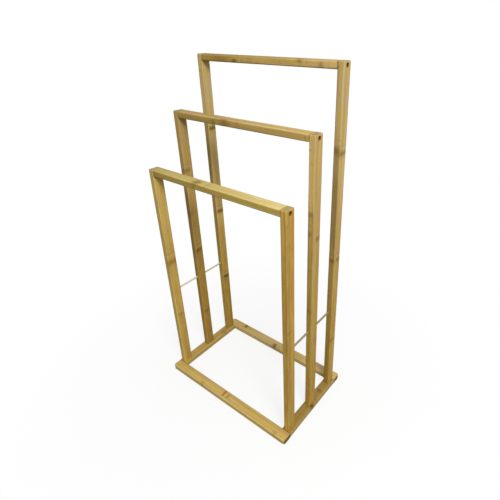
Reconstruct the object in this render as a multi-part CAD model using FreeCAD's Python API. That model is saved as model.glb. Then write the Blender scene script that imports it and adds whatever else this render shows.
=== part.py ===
import FreeCAD, Part
import math
import os

os.makedirs("parts", exist_ok=True)

Vector = FreeCAD.Vector

# Freestanding towel stand: three upturned-U frames of rising height on one flat base frame.
# Millimetres. X is the width, Y the depth with the lowest frame at -Y, and Z is up.
# The origin is the middle of the base's underside.

# ---- overall sizes ----
stand_width = 400.0
stand_depth = 250.0
front_frame_height = 595.0
frame_rise = 115.0

# ---- the lath that every bar is cut from ----
lath_width = 25.0
lath_thickness = 15.0
lath_edge_round = 2.5
base_corner_round = 6.0
base_underside_bevel = 1.0

# ---- the rods that tie the three uprights of a side ----
rod_diameter = 5.0
rod_height = 260.0
rod_seat = 8.0

# ---- blunt furniture screws with sunk socket heads, their threads left out ----
shank_diameter = 4.5
shank_length = 40.0
head_diameter = 7.5
head_height = 4.0
head_sink = 2.0
socket_across_flats = 4.0
socket_depth = 2.5

# ---- stub tenons that join the base's side rails to its front and rear rails ----
tenon_length = 12.0
tenon_width = 15.0
tenon_thickness = 6.0

# ---- clearances ----
tenon_clearance = 0.1        # on each side of a tenon
rod_clearance = 0.1          # round a rod, on the radius
shank_clearance = 0.1        # round a screw's shank, on the radius
head_clearance = 0.25        # round a screw's head, on the radius
end_clearance = 0.5          # past the end of a tenon, a rod or a screw

tiny = 1e-6                  # how near two heights or directions count as the same

# ---- sizes that follow ----
half_width = stand_width / 2
half_depth = stand_depth / 2
side_x = half_width - lath_width / 2
upright_outer_x = side_x + lath_thickness / 2
upright_inner_x = side_x - lath_thickness / 2
joint_y = half_depth - lath_width
front_y = -joint_y + lath_width / 2
frame_ys = {"front": front_y, "middle": 0.0, "rear": -front_y}
frame_heights = {
    "front": front_frame_height,
    "middle": front_frame_height + frame_rise,
    "rear": front_frame_height + 2 * frame_rise,
}
sides = {"left": -1, "right": 1}
ends = {"front": -1, "rear": 1}

X_AXIS = Vector(1, 0, 0)
Y_AXIS = Vector(0, 1, 0)
Z_AXIS = Vector(0, 0, 1)


def edges_along(shape, axis):
    """The straight edges of a shape that run parallel to an axis."""
    found = []
    for edge in shape.Edges:
        if isinstance(edge.Curve, Part.Line):
            direction = edge.tangentAt(edge.FirstParameter)
            if abs(abs(direction.dot(axis)) - 1) < tiny:
                found.append(edge)
    return found


def edges_at_height(shape, height):
    """The edges of a shape that lie in one level plane."""
    found = []
    for edge in shape.Edges:
        box = edge.BoundBox
        if abs(box.ZMin - height) < tiny and abs(box.ZMax - height) < tiny:
            found.append(edge)
    return found


def box_between(low, high):
    """A plain block between two opposite corners."""
    return Part.makeBox(high.x - low.x, high.y - low.y, high.z - low.z, low)


def lath(low, high, long_axis):
    """A bar of lath between two corners, its four long edges rounded."""
    bar = box_between(low, high)
    return bar.makeFillet(lath_edge_round, edges_along(bar, long_axis))


def cylinder(start, direction, diameter, length):
    """A round bar or hole from a start point along a direction."""
    return Part.makeCylinder(diameter / 2, length, start, direction)


# ---- a screw and its hole ----
def socket():
    """The hexagonal socket of a screw, sunk from the origin up along Z."""
    corner_radius = socket_across_flats / math.sqrt(3)
    corners = []
    for index in range(6):
        angle = index * math.pi / 3
        corners.append(Vector(corner_radius * math.cos(angle), corner_radius * math.sin(angle), 0))
    outline = Part.makePolygon(corners + [corners[0]])
    return Part.Face(outline).extrude(Z_AXIS * socket_depth)


def screw(face_point, direction):
    """A screw whose head is sunk below the face that it enters."""
    head = Part.makeCylinder(head_diameter / 2, head_height)
    shank = cylinder(Z_AXIS * head_height, Z_AXIS, shank_diameter, shank_length)
    solid = head.fuse(shank).cut(socket())
    start = face_point + direction * head_sink
    solid.Placement = FreeCAD.Placement(start, FreeCAD.Rotation(Z_AXIS, direction))
    return solid


def screw_hole(face_point, direction):
    """The counterbore and the shank hole of a screw."""
    seat_depth = head_sink + head_height
    head_hole = head_diameter + 2 * head_clearance
    shank_hole = shank_diameter + 2 * shank_clearance
    counterbore = cylinder(face_point, direction, head_hole, seat_depth)
    bore = cylinder(face_point, direction, shank_hole, seat_depth + shank_length + end_clearance)
    return counterbore.fuse(bore)


# ---- where the screws go in ----
def foot_point(side, frame):
    """Where an upright's screw enters the underside of the base."""
    return Vector(sides[side] * side_x, frame_ys[frame], 0)


def bar_screw_point(side, frame):
    """Where a bar's screw enters the outer face of its upright."""
    z = frame_heights[frame] - lath_thickness / 2
    return Vector(sides[side] * upright_outer_x, frame_ys[frame], z)


def inward(side):
    """The direction along X from one side towards the middle."""
    return Vector(-sides[side], 0, 0)


# ---- the base frame ----
def tenon_block(side, end, slack, end_slack):
    """A side rail's tenon, or with slack the mortise that it goes into."""
    centre = Vector(sides[side] * side_x, 0, lath_thickness / 2)
    near_y = end * joint_y
    far_y = end * (joint_y + tenon_length + end_slack)
    half_size = Vector(tenon_width / 2 + slack, 0, tenon_thickness / 2 + slack)
    low = centre - half_size + Y_AXIS * min(near_y, far_y)
    high = centre + half_size + Y_AXIS * max(near_y, far_y)
    return box_between(low, high)


def cross_rail(end):
    """The front (-1) or rear (1) rail of the base: full width, with rounded outer corners."""
    near_y = end * joint_y
    far_y = end * half_depth
    low = Vector(-half_width, min(near_y, far_y), 0)
    high = Vector(half_width, max(near_y, far_y), lath_thickness)
    rail = box_between(low, high)
    outer_corners = []
    for edge in edges_along(rail, Z_AXIS):
        if abs(edge.BoundBox.YMin - far_y) < tiny:
            outer_corners.append(edge)
    rail = rail.makeFillet(base_corner_round, outer_corners)
    rail = rail.makeFillet(lath_edge_round, edges_at_height(rail, lath_thickness))
    rail = rail.makeChamfer(base_underside_bevel, edges_at_height(rail, 0))
    for side in sides:
        rail = rail.cut(tenon_block(side, end, tenon_clearance, end_clearance))
    return rail


def side_rail(side):
    """A side rail of the base, tenoned at both ends, with the holes of the uprights' screws."""
    low = Vector(sides[side] * side_x - lath_width / 2, -joint_y, 0)
    high = Vector(sides[side] * side_x + lath_width / 2, joint_y, lath_thickness)
    rail = lath(low, high, Y_AXIS)
    for end in ends.values():
        rail = rail.fuse(tenon_block(side, end, 0, 0))
    for frame in frame_ys:
        rail = rail.cut(screw_hole(foot_point(side, frame), Z_AXIS))
    return rail


# ---- the three frames ----
def rod_half_length():
    """Half a rod: it ends in blind holes of the front and rear uprights."""
    return abs(front_y) - lath_width / 2 + rod_seat


def rod_along(side, diameter, half_length):
    """A round bar along Y at the height of the rods."""
    start = Vector(sides[side] * side_x, -half_length, rod_height)
    return cylinder(start, Y_AXIS, diameter, 2 * half_length)


def rod_hole(side):
    """The hole of one side's rod, from the front upright to the rear one."""
    return rod_along(side, rod_diameter + 2 * rod_clearance, rod_half_length() + end_clearance)


def spacer_rod(side):
    """The thin rod that runs through the middle upright and ties the three of one side."""
    return rod_along(side, rod_diameter, rod_half_length())


def upright(side, frame):
    """An upright: it stands on a side rail and takes two screws and the rod."""
    centre_x = sides[side] * side_x
    centre_y = frame_ys[frame]
    top = frame_heights[frame]
    low = Vector(centre_x - lath_thickness / 2, centre_y - lath_width / 2, lath_thickness)
    high = Vector(centre_x + lath_thickness / 2, centre_y + lath_width / 2, top)
    post = lath(low, high, Z_AXIS)
    post = post.cut(screw_hole(foot_point(side, frame), Z_AXIS))
    post = post.cut(screw_hole(bar_screw_point(side, frame), inward(side)))
    return post.cut(rod_hole(side))


def top_bar(frame):
    """The bar that a towel hangs over, between two uprights and level with their tops."""
    centre_y = frame_ys[frame]
    top = frame_heights[frame]
    low = Vector(-upright_inner_x, centre_y - lath_width / 2, top - lath_thickness)
    high = Vector(upright_inner_x, centre_y + lath_width / 2, top)
    bar = lath(low, high, X_AXIS)
    for side in sides:
        bar = bar.cut(screw_hole(bar_screw_point(side, frame), inward(side)))
    return bar


# ---- the screws, in pairs of alike ones ----
def bar_screws(frame):
    """The two screws that hold a bar between its uprights."""
    return [screw(bar_screw_point(side, frame), inward(side)) for side in sides]


def foot_screws(frame):
    """The two screws that hold a frame's uprights to the base, driven from below."""
    return [screw(foot_point(side, frame), Z_AXIS) for side in sides]


def save(name, solids):
    """Writes one node's solids to its file."""
    shape = solids[0] if len(solids) == 1 else Part.makeCompound(solids)
    shape.exportStep("parts/" + name + ".step")
    print(name, len(solids), "valid" if shape.isValid() else "NOT VALID")


for end_name, end in ends.items():
    save("base_" + end_name + "_rail", [cross_rail(end)])
for side in sides:
    save("base_" + side + "_rail", [side_rail(side)])
    save(side + "_spacer_rod", [spacer_rod(side)])
for frame in frame_ys:
    save(frame + "_bar", [top_bar(frame)])
    for side in sides:
        save(frame + "_" + side + "_upright", [upright(side, frame)])
    save(frame + "_bar_screws", bar_screws(frame))
    save(frame + "_foot_screws", foot_screws(frame))
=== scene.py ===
"""Freestanding bamboo towel stand: three stepped frames on a flat base, dressed as photographed."""
import logging
import math
from dataclasses import dataclass, field
from enum import Enum
from typing import Optional, Sequence, Union

import bmesh
import bpy
from mathutils import Matrix, Vector, noise


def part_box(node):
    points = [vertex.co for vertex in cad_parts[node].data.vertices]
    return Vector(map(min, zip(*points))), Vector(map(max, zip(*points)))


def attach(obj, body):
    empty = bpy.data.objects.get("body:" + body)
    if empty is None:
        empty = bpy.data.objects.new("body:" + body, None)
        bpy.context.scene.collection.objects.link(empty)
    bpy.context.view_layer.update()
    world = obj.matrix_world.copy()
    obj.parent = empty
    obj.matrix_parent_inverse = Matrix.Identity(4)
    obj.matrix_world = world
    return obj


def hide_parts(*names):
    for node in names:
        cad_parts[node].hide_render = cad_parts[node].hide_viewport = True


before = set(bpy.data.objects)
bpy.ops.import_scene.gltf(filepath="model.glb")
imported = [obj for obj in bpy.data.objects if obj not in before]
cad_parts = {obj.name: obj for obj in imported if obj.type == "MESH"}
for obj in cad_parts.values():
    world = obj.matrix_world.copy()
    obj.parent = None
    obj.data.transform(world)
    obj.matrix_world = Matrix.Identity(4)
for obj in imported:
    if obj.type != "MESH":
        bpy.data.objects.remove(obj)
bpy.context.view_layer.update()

log = logging.getLogger("towel_stand")

BODY = "root"
MM = 0.001
TINY = 1e-6
FLAT_FACE_WEIGHT = 80
UP = Vector((0, 0, 1))
WHITE = (1.0, 1.0, 1.0)

Tree = bpy.types.NodeTree
Material = bpy.types.Material
Object = bpy.types.Object
Colour = tuple[float, float, float]
Value = Union[float, Sequence[float], "Wire"]


# ---------------------------------------------------------------- shader wiring
def labels(values: dict[str, Value]) -> dict[str, Value]:
    """Turns names such as half_width into the names of sockets, such as Half Width."""
    return {name.replace("_", " ").title().replace("Ior", "IOR"): value
            for name, value in values.items()}


class Wire:
    """One output of a shader node. Arithmetic on it adds Math nodes to the same tree."""

    def __init__(self, bench: "NodeBench", socket: bpy.types.NodeSocket) -> None:
        """Keeps the output and the bench that it lies on."""
        self.bench = bench
        self.socket = socket

    def __add__(self, other: Value) -> "Wire":
        """The sum."""
        return self.bench.maths("ADD", self, other)

    def __sub__(self, other: Value) -> "Wire":
        """The difference."""
        return self.bench.maths("SUBTRACT", self, other)

    def __rsub__(self, other: float) -> "Wire":
        """The difference from a number."""
        return self.bench.maths("SUBTRACT", other, self)

    def __mul__(self, other: Value) -> "Wire":
        """The product."""
        return self.bench.maths("MULTIPLY", self, other)

    def __truediv__(self, other: Value) -> "Wire":
        """The quotient."""
        return self.bench.maths("DIVIDE", self, other)

    def __gt__(self, other: Value) -> "Wire":
        """1 where it is the greater, else 0."""
        return self.bench.maths("GREATER_THAN", self, other)

    def __abs__(self) -> "Wire":
        """Its size without the sign."""
        return self.bench.maths("ABSOLUTE", self)

    def spread(self, low: float, high: float, to_low: float = 0.0, to_high: float = 1.0) -> "Wire":
        """Eases it from one range into another, and holds it at the ends.

        Args:
            low: Where the range starts.
            high: Where it ends, which may lie below low.
            to_low: The result at low.
            to_high: The result at high.

        Returns:
            The eased value.
        """
        inputs = {0: self, 1: low, 2: high, 3: to_low, 4: to_high}
        return self.bench.out("MapRange", inputs, interpolation_type="SMOOTHSTEP")


class Grain(Enum):
    """Noise patterns: waves per metre along X, Y and Z, octaves, and the fine octaves' strength."""

    GLUE_WAVER = ((60.0, 8.0, 8.0), 2.0, 0.5)
    SWAY = ((9.0, 20.0, 20.0), 1.0, 0.5)
    BUNDLES = ((9.0, 900.0, 900.0), 3.0, 0.55)
    FINE = ((40.0, 3600.0, 3600.0), 2.0, 0.6)
    CLOUDS = ((4.5, 70.0, 70.0), 3.0, 0.5)
    PATCHES = ((26.0, 150.0, 150.0), 1.0, 0.5)
    FLECKS = ((75.0, 380.0, 380.0), 2.0, 0.6)
    DASHES = ((95.0, 2100.0, 2100.0), 1.0, 0.4)
    RAGGED = ((60.0, 420.0, 420.0), 2.0, 0.6)
    ROLLING = ((20.0, 75.0, 75.0), 1.0, 0.5)
    STRAY_RAGGED = ((40.0, 260.0, 260.0), 2.0, 0.6)
    RUB = ((38.0, 160.0, 160.0), 4.0, 0.65)
    SMEAR = ((14.0, 45.0, 45.0), 5.0, 0.6)
    RIPPLE = ((55.0, 130.0, 130.0), 2.0, 0.5)
    SCORCH = ((260.0, 520.0, 520.0), 3.0, 0.6)
    TORN = ((900.0, 900.0, 900.0), 4.0, 0.7)
    DOWEL = ((14.0, 1500.0, 1500.0), 3.0, 0.6)
    BLUSH = ((11.0, 60.0, 60.0), 2.0, 0.5)
    PORES = ((140.0, 3200.0, 3200.0), 1.0, 0.5)
    BLOTCH = ((700.0, 700.0, 700.0), 3.0, 0.6)
    TURNED = ((400.0, 400.0, 9000.0), 2.0, 0.5)


class NodeBench:
    """Adds nodes to one shader tree and wires them together."""

    def __init__(self, tree: Tree) -> None:
        """Starts on a tree."""
        self.tree = tree

    def feed(self, socket: bpy.types.NodeSocket, value: Value) -> None:
        """Gives an input its value.

        Args:
            socket: The input.
            value: The wire to link, or the number, vector or colour to set.
        """
        if isinstance(value, Wire):
            self.tree.links.new(value.socket, socket)
        else:
            socket.default_value = (*value, 1.0) if socket.type == "RGBA" else value

    def add(self, kind: str, inputs: Optional[dict] = None, **settings: object) -> bpy.types.Node:
        """Adds one node.

        Args:
            kind: Its type name, without the ShaderNode prefix.
            inputs: Values for its inputs, by name or number.
            **settings: Values for its own properties.

        Returns:
            The node.
        """
        node = self.tree.nodes.new("ShaderNode" + kind)
        for name, setting in settings.items():
            setattr(node, name, setting)
        for key, value in (inputs or {}).items():
            self.feed(node.inputs[key], value)
        return node

    def out(self, kind: str, inputs: Optional[dict] = None, output: Union[int, str] = 0,
            **settings: object) -> Wire:
        """Adds a node as add does, and takes one of its outputs."""
        return Wire(self, self.add(kind, inputs, **settings).outputs[output])

    def maths(self, operation: str, *values: Value, clamp: bool = False) -> Wire:
        """Adds a Math node, its result kept between 0 and 1 if clamp says so."""
        return self.out("Math", dict(enumerate(values)), operation=operation, use_clamp=clamp)

    def measure(self, operation: str, *vectors: Value) -> Wire:
        """Adds a Vector Math node whose result is a number."""
        return self.out("VectorMath", dict(enumerate(vectors)), "Value", operation=operation)

    def axes(self, vector: Wire) -> list[Wire]:
        """Takes a vector or a colour apart."""
        return [Wire(self, part) for part in self.add("SeparateXYZ", {0: vector}).outputs]

    def vector(self, *parts: Value) -> Wire:
        """Makes a vector of three parts."""
        return self.out("CombineXYZ", dict(enumerate(parts)))

    def stretch(self, vector: Wire, scale: Sequence[float], shift: Value) -> Wire:
        """Scales a vector axis by axis, and then moves it as far on each."""
        inputs = {0: vector, 1: scale, 2: self.vector(shift, shift, shift)}
        return self.out("VectorMath", inputs, operation="MULTIPLY_ADD")

    def grainy(self, place: Wire, grain: Grain, shift: Value = 0.0) -> Wire:
        """Reads a noise pattern.

        Args:
            place: Where it is read, in metres.
            grain: The pattern.
            shift: What sets this use of it apart.

        Returns:
            A value about 0.5.
        """
        scale, detail, roughness = grain.value
        return self.out("TexNoise", {"Vector": self.stretch(place, scale, shift), "Scale": 1.0,
                                     "Detail": detail, "Roughness": roughness, "Distortion": 0.0})

    def cells(self, place: Wire, scale: Sequence[float], shift: Value) -> list[Wire]:
        """Scatters points.

        Args:
            place: Where the pattern is read, in metres.
            scale: Points per metre along X, Y and Z.
            shift: What sets this use of it apart.

        Returns:
            The distance to the nearest point, and its random colour.
        """
        inputs = {"Vector": self.stretch(place, scale, shift), "Scale": 1.0, "Randomness": 1.0}
        points = self.add("TexVoronoi", inputs).outputs
        return [Wire(self, points["Distance"]), Wire(self, points["Color"])]

    def blend(self, share: Value, first: Value, second: Value, mode: str = "MIX") -> Wire:
        """Mixes two colours.

        Args:
            share: How much of the second there is.
            first: The first.
            second: The second.
            mode: The node's blend type.

        Returns:
            The mixed colour.
        """
        inputs = {0: share, 6: first, 7: second}
        return self.out("Mix", inputs, 2, data_type="RGBA", blend_type=mode)

    def cover(self, colour: Value, *layers: tuple[Wire, float, Colour]) -> Wire:
        """Lays colours over a ground.

        Args:
            colour: The ground.
            *layers: Each colour after its mask and the mask's strength.

        Returns:
            The mixed colour.
        """
        for mask, share, over in layers:
            colour = self.blend(mask * share, colour, over)
        return colour

    def group(self, tree: Tree, **inputs: Value) -> dict[str, Wire]:
        """Places a node group with its inputs, and takes its outputs by name."""
        node = self.add("Group", labels(inputs), node_tree=tree)
        return {socket.name: Wire(self, socket) for socket in node.outputs}


class GroupBench(NodeBench):
    """A bench on a new node group with named sockets.

    Attributes:
        given: The group's inputs, in order.
    """

    VECTORS = ("Position", "Mouth", "Facing")

    def __init__(self, name: str, inputs: str, outputs: str) -> None:
        """Makes the group.

        Args:
            name: Its name.
            inputs: The names of its inputs, with commas between them.
            outputs: The names of its outputs in the same way, all of them numbers.
        """
        super().__init__(bpy.data.node_groups.new(name, "ShaderNodeTree"))
        for side, names in (("INPUT", inputs), ("OUTPUT", outputs)):
            for socket in names.split(", "):
                kind = "NodeSocketVector" if socket in self.VECTORS else "NodeSocketFloat"
                self.tree.interface.new_socket(name=socket, in_out=side, socket_type=kind)
        given = self.tree.nodes.new("NodeGroupInput").outputs
        self.given = [Wire(self, socket) for socket in given if socket.name]

    def put_out(self, *values: Value) -> Tree:
        """Wires the group's outputs.

        Args:
            *values: What goes to each, in order.

        Returns:
            The finished group.
        """
        for socket, value in zip(self.tree.nodes.new("NodeGroupOutput").inputs, values):
            self.feed(socket, value)
        return self.tree


class MaterialBench(NodeBench):
    """A bench on the emptied tree of a new material.

    Attributes:
        material: The material.
        position: The place on the surface in the object's own coordinates, in metres.
    """

    def __init__(self, name: str) -> None:
        """Makes the material.

        Args:
            name: Its name.
        """
        self.material = bpy.data.materials.new(name)
        self.material.use_nodes = True
        super().__init__(self.material.node_tree)
        self.tree.nodes.clear()
        self.position = self.out("TexCoord", output="Object")

    def bump(self, height: Wire) -> Wire:
        """Turns a height in metres into a normal."""
        return self.out("Bump", {"Strength": 1.0, "Distance": 1.0, "Height": height})

    def finish(self, shader: Wire) -> Material:
        """Wires a shader to the material's output and hands the material over."""
        self.add("OutputMaterial", {"Surface": shader})
        return self.material

    def principled(self, **inputs: Value) -> Material:
        """Finishes the material with a Principled shader."""
        return self.finish(self.out("BsdfPrincipled", labels(inputs)))


PLY_SLIP = 0.37                         # of a strip, from one ply to the next
GLUE_WIDTHS = (0.08 * MM, 0.22 * MM)    # half a glue line, at its thinnest and its widest
SWAY_ACROSS, SWAY_THROUGH = 0.9 * MM, 0.6 * MM
SHIFT_SPREAD = 37.0                     # keeps the grain of two strips apart
PATCH_SHARES = (0.62, 0.38)             # of the patches and the flecks in the mottling
SCAR_RAGGED, SCAR_ROLLING = 3.0 * MM, 7.0 * MM
SCAR_FRINGE, SCAR_INSET = 4.0 * MM, 2.0 * MM
SECOND_SCAR = 1.45                      # how far off the second line of a scar is, in its lengths
STRAY_RAGGED = 5.0 * MM
SPECK_CHANCE = 0.93                     # the share of the points that have no speck
ARRIS_RAGGED, SCORCH_RAGGED = 1.2 * MM, 1.6 * MM


@dataclass(frozen=True)
class BambooEffects:
    """The shared node groups of laminated bamboo, in a lath's own coordinates.

    A position is in metres from the lath's middle: X along it, Y across its wide face and Z
    through it. The ranges that a mask is spread from are in the noise's own values, or in metres.
    """

    plies: Tree
    fibres: Tree
    knuckle: Tree
    strays: Tree
    arrises: Tree
    handling: Tree
    end_grain: Tree
    scorch: Tree

    @classmethod
    def build(cls) -> "BambooEffects":
        """Builds all the groups once."""
        return cls(cls._plies(), cls._fibres(), cls._knuckle(), cls._strays(), cls._arrises(),
                   cls._handling(), cls._end_grain(), cls._scorch())

    @staticmethod
    def _plies() -> Tree:
        """Splits a lath into glued plies and strips, each with random numbers of its own.

        Returns:
            The group.
        """
        bench = GroupBench("bamboo_plies", "Position, Ply Depth, Strip Width, Seed",
                           "Tone, Warmth, Shift, Glue Line, Odd Strip, Show Face")
        position, ply_depth, strip_width, seed = bench.given
        _, y, z = bench.axes(position)
        depth = z / ply_depth
        ply = bench.maths("MINIMUM", bench.maths("MAXIMUM", bench.maths("ROUND", depth), -1.0), 1.0)
        across = y / strip_width + 0.5 + ply * PLY_SLIP
        strip = bench.maths("FLOOR", across)
        chance = bench.out("TexWhiteNoise", {"Vector": bench.vector(ply, strip, seed)}, "Color",
                           noise_dimensions="3D")
        to_ply_edge = abs(abs(depth) - 0.5) * ply_depth
        to_strip_edge = bench.maths("PINGPONG", across, 0.5) * strip_width
        near = bench.maths("MINIMUM", to_ply_edge, to_strip_edge)
        waver = bench.grainy(position, Grain.GLUE_WAVER, seed)
        width = waver.spread(0.35, 0.65, *GLUE_WIDTHS)
        glue = 1.0 - bench.maths("DIVIDE", near, width, clamp=True)
        return bench.put_out(*bench.axes(chance), glue, bench.maths("PINGPONG", strip, 1.0),
                             ply > 0.5)

    @staticmethod
    def _fibres() -> Tree:
        """The long fibre bundles, the fine grain between them and the slow change of tone.

        Returns:
            The group.
        """
        bench = GroupBench("bamboo_fibres", "Position, Shift, Seed",
                           "Bundles, Fine Grain, Clouds, Mottle, Dashes")
        position, shift, seed = bench.given
        offset = shift * SHIFT_SPREAD + seed
        sway = bench.grainy(position, Grain.SWAY, offset)
        bent = bench.vector(0.0, sway * SWAY_ACROSS, sway * SWAY_THROUGH)
        position = bench.out("VectorMath", {0: position, 1: bent}, operation="ADD")
        bundles, fine, clouds, patches, flecks, dashes = (
            bench.grainy(position, grain, offset)
            for grain in (Grain.BUNDLES, Grain.FINE, Grain.CLOUDS, Grain.PATCHES, Grain.FLECKS,
                          Grain.DASHES))
        mottle = patches * PATCH_SHARES[0] + flecks * PATCH_SHARES[1]
        return bench.put_out(bundles.spread(0.34, 0.66), fine.spread(0.3, 0.7),
                             clouds.spread(0.32, 0.68), mottle.spread(0.38, 0.62),
                             dashes.spread(0.6, 0.72))

    @staticmethod
    def _knuckle() -> Tree:
        """One scar where a joint of the cane ran across a strip, and the wood beyond it.

        Returns:
            The group.
        """
        bench = GroupBench("bamboo_knuckle",
                           "Position, Place, Across, Through, Reach, Length, Strength, Seed",
                           "Scar, Stain, Ridge, Beyond")
        position, place, across, through, reach, length, strength, seed = bench.given
        x, y, z = bench.axes(position)
        ragged = bench.grainy(position, Grain.RAGGED, seed)
        rolling = bench.grainy(position, Grain.ROLLING, seed)
        wander = (ragged - 0.5) * SCAR_RAGGED + (rolling - 0.5) * SCAR_ROLLING
        steps = (x - place + wander) / length
        away = bench.measure("LENGTH", bench.vector(0.0, y - across, z - through))
        window = ((ragged * SCAR_FRINGE + (away - SCAR_INSET)) / reach).spread(1.0, 0.55)
        marked = window * strength
        core = abs(steps).spread(0.62, 0.10) * ragged.spread(0.28, 0.6, 0.55, 1.0)
        second = abs(steps - SECOND_SCAR).spread(0.22, 0.03) * 0.40
        return bench.put_out(bench.maths("MAXIMUM", core, second) * marked,
                             abs(steps - 0.1).spread(1.5, 0.25) * marked,
                             abs(steps - 0.95).spread(0.45, 0.15) * marked,
                             steps.spread(-1.5, 2.5) * window)

    @staticmethod
    def _strays() -> Tree:
        """Fainter knuckles that come round again and again, at another place in each strip.

        Returns:
            The group.
        """
        bench = GroupBench("bamboo_strays", "Position, Shift, Spacing, Seed",
                           "Scar, Stain, Ridge")
        position, shift, spacing, seed = bench.given
        ragged = bench.grainy(position, Grain.STRAY_RAGGED, seed)
        turns = (ragged * STRAY_RAGGED + bench.axes(position)[0]) / spacing + (shift + 8.0)
        off = bench.maths("PINGPONG", turns, 0.5) * spacing
        return bench.put_out(off.spread(1.8 * MM, 0.3 * MM) * ragged.spread(0.3, 0.62),
                             off.spread(8.0 * MM, 1.0 * MM),
                             abs(off - 4.5 * MM).spread(2.5 * MM, 0.8 * MM))

    @staticmethod
    def _arrises() -> Tree:
        """The long edges: the one turned towards the lamp is painted pale as a painted highlight,
        the others are painted darker as painted shade, and all are rubbed pale in spots.

        Returns:
            The group.
        """
        bench = GroupBench("bamboo_arrises",
                           "Position, Half Width, Half Thickness, Rubbed Side, Seed",
                           "Pale, Dark, Rub")
        position, half_width, half_thickness, rubbed_side, seed = bench.given
        _, y, z = bench.axes(position)
        inside = bench.maths("MAXIMUM", half_width - abs(y), half_thickness - abs(z))
        rub = bench.grainy(position, Grain.RUB, seed)
        arris = (rub * ARRIS_RAGGED + inside).spread(3.6 * MM, 1.4 * MM)
        # Painted highlight on the long edge turned towards the lamp; painted shade on the other
        # long edges.
        pale = arris * ((z > 0.0) * (y * rubbed_side > 0.0))
        return bench.put_out(pale, arris - pale, arris * rub.spread(0.46, 0.66))

    @staticmethod
    def _handling() -> Tree:
        """Uneven lacquer, faint smears and a few dark specks.

        Returns:
            The group.
        """
        bench = GroupBench("lacquer_handling", "Position, Seed", "Sheen Change, Speck, Ripple")
        position, seed = bench.given
        distance, colour = bench.cells(position, (60.0, 210.0, 210.0), seed)
        return bench.put_out(bench.grainy(position, Grain.SMEAR, seed).spread(0.3, 0.7),
                             distance.spread(0.1, 0.03) * (bench.axes(colour)[0] > SPECK_CHANCE),
                             bench.grainy(position, Grain.RIPPLE, seed))

    @staticmethod
    def _end_grain() -> Tree:
        """The dotted fibre ends where a lath is cut across, and the dirt and painted contact shade
        near its ends.

        Returns:
            The group.
        """
        bench = GroupBench("bamboo_end_grain", "Position, Facing, Half Length, Seed",
                           "Cut End, Dots, Joint Dirt")
        position, facing, half_length, seed = bench.given
        cut = abs(bench.axes(facing)[0]).spread(0.6, 0.85)
        dots = bench.cells(position, (1.0, 1300.0, 1300.0), seed)[0].spread(0.42, 0.18)
        # Darker close to the ends on the long faces: dirt and painted contact shade.
        from_end = half_length - abs(bench.axes(position)[0])
        return bench.put_out(cut, dots, from_end.spread(1.4 * MM, 0.0) * (1.0 - cut))

    @staticmethod
    def _scorch() -> Tree:
        """The brown ring that a drill leaves round its hole.

        Returns:
            The group.
        """
        bench = GroupBench("drill_scorch", "Position, Mouth, Radius", "Scorch")
        position, mouth, radius = bench.given
        beyond = bench.measure("DISTANCE", position, mouth) - radius
        beyond = bench.grainy(position, Grain.SCORCH) * SCORCH_RAGGED + beyond
        return bench.put_out(beyond.spread(2.6 * MM, 0.6 * MM))


# ---------------------------------------------------------------- finishes
@dataclass(frozen=True)
class Knuckle:
    """Where a joint of the cane left its mark on a lath.

    Attributes:
        place: How far along the lath it is, in metres from the lath's datum.
        across: The middle of the mark across the wide face.
        reach: How far the mark spreads from there.
        strength: How dark it is, 0 to 1.
        step: How much lighter the strip is beyond it.
        through: The middle of the mark through the thickness.
        length: How long the mark is.
    """

    place: float
    across: float
    reach: float
    strength: float
    step: float = 0.0
    through: float = 7.5 * MM
    length: float = 11.0 * MM


@dataclass(frozen=True)
class BambooFinish:
    """How one lath is coloured.

    Attributes:
        seed: What sets its pattern apart.
        tone: A factor on all its colours.
        narrow_tone_and_shade: A further factor on its narrow faces: painted light and shade, partly
            their own tone.
        narrow_tone_and_shade_steps: Places along it from its datum, and the factor on its narrow
            faces beyond: painted shadows and light, partly the strips' own tone.
        gain: How much lighter its far end is than its near end: painted light falling off along it,
            partly its own tone.
        warmth: How far it leans from straw to honey, 0 to 1.
        split: How much its strips differ in that.
        bleach: How far its two ends are bleached.
        edge_bleach: How much of that reaches its narrow faces.
        knuckles: Its marked knuckles.
        strays: How dark the fainter knuckles of its other strips are.
        glue: How dark its glue lines are.
        end_dirt_and_shade: How dark it is close to its ends, where laths meet: dirt and painted
            contact shade.
        painted_shade_arris: How dark its long edges away from the lamp are painted, as painted
            shade.
        painted_highlight_arris: How pale its long edge towards the lamp is painted, as a painted
            highlight.
        cut: The colour of its cut ends.

    The other strengths, 0 to 1, are of the fibre bundles, the fine grain, the dashes, the rubbed
    spots of the long edges, the knuckles' ridges, stains and scars, the specks, the drilled
    holes' brown rings and the fibre ends.
    """

    seed: float
    tone: float
    narrow_tone_and_shade: float = 1.0
    narrow_tone_and_shade_steps: tuple[tuple[float, float], ...] = ()
    gain: float = 0.0
    warmth: float = 0.5
    split: float = 0.0
    bleach: tuple[float, float] = (0.0, 0.0)
    edge_bleach: float = 1.0
    knuckles: tuple[Knuckle, ...] = ()
    strays: float = 0.35
    glue: float = 0.25
    end_dirt_and_shade: float = 0.06
    painted_shade_arris: float = 0.35
    painted_highlight_arris: float = 0.45
    bundles: float = 0.30
    fine_grain: float = 0.14
    dashes: float = 0.38
    rubbing: float = 0.15
    ridges: float = 0.40
    stains: float = 0.50
    scars: float = 0.90
    specks: float = 0.60
    rings: float = 0.85
    dots: float = 0.35
    roughness: float = 0.44
    strip_width: float = 12.5 * MM
    ply_depth: float = 5.0 * MM

    cut: Colour = (0.395, 0.297, 0.120)
    straw: Colour = (0.480, 0.378, 0.066)
    honey: Colour = (0.615, 0.312, 0.048)
    fibre: Colour = (0.290, 0.172, 0.028)
    scar: Colour = (0.125, 0.066, 0.005)
    stain: Colour = (0.310, 0.172, 0.018)
    rim: Colour = (0.690, 0.545, 0.215)
    pale: Colour = (0.638, 0.486, 0.245)


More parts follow.
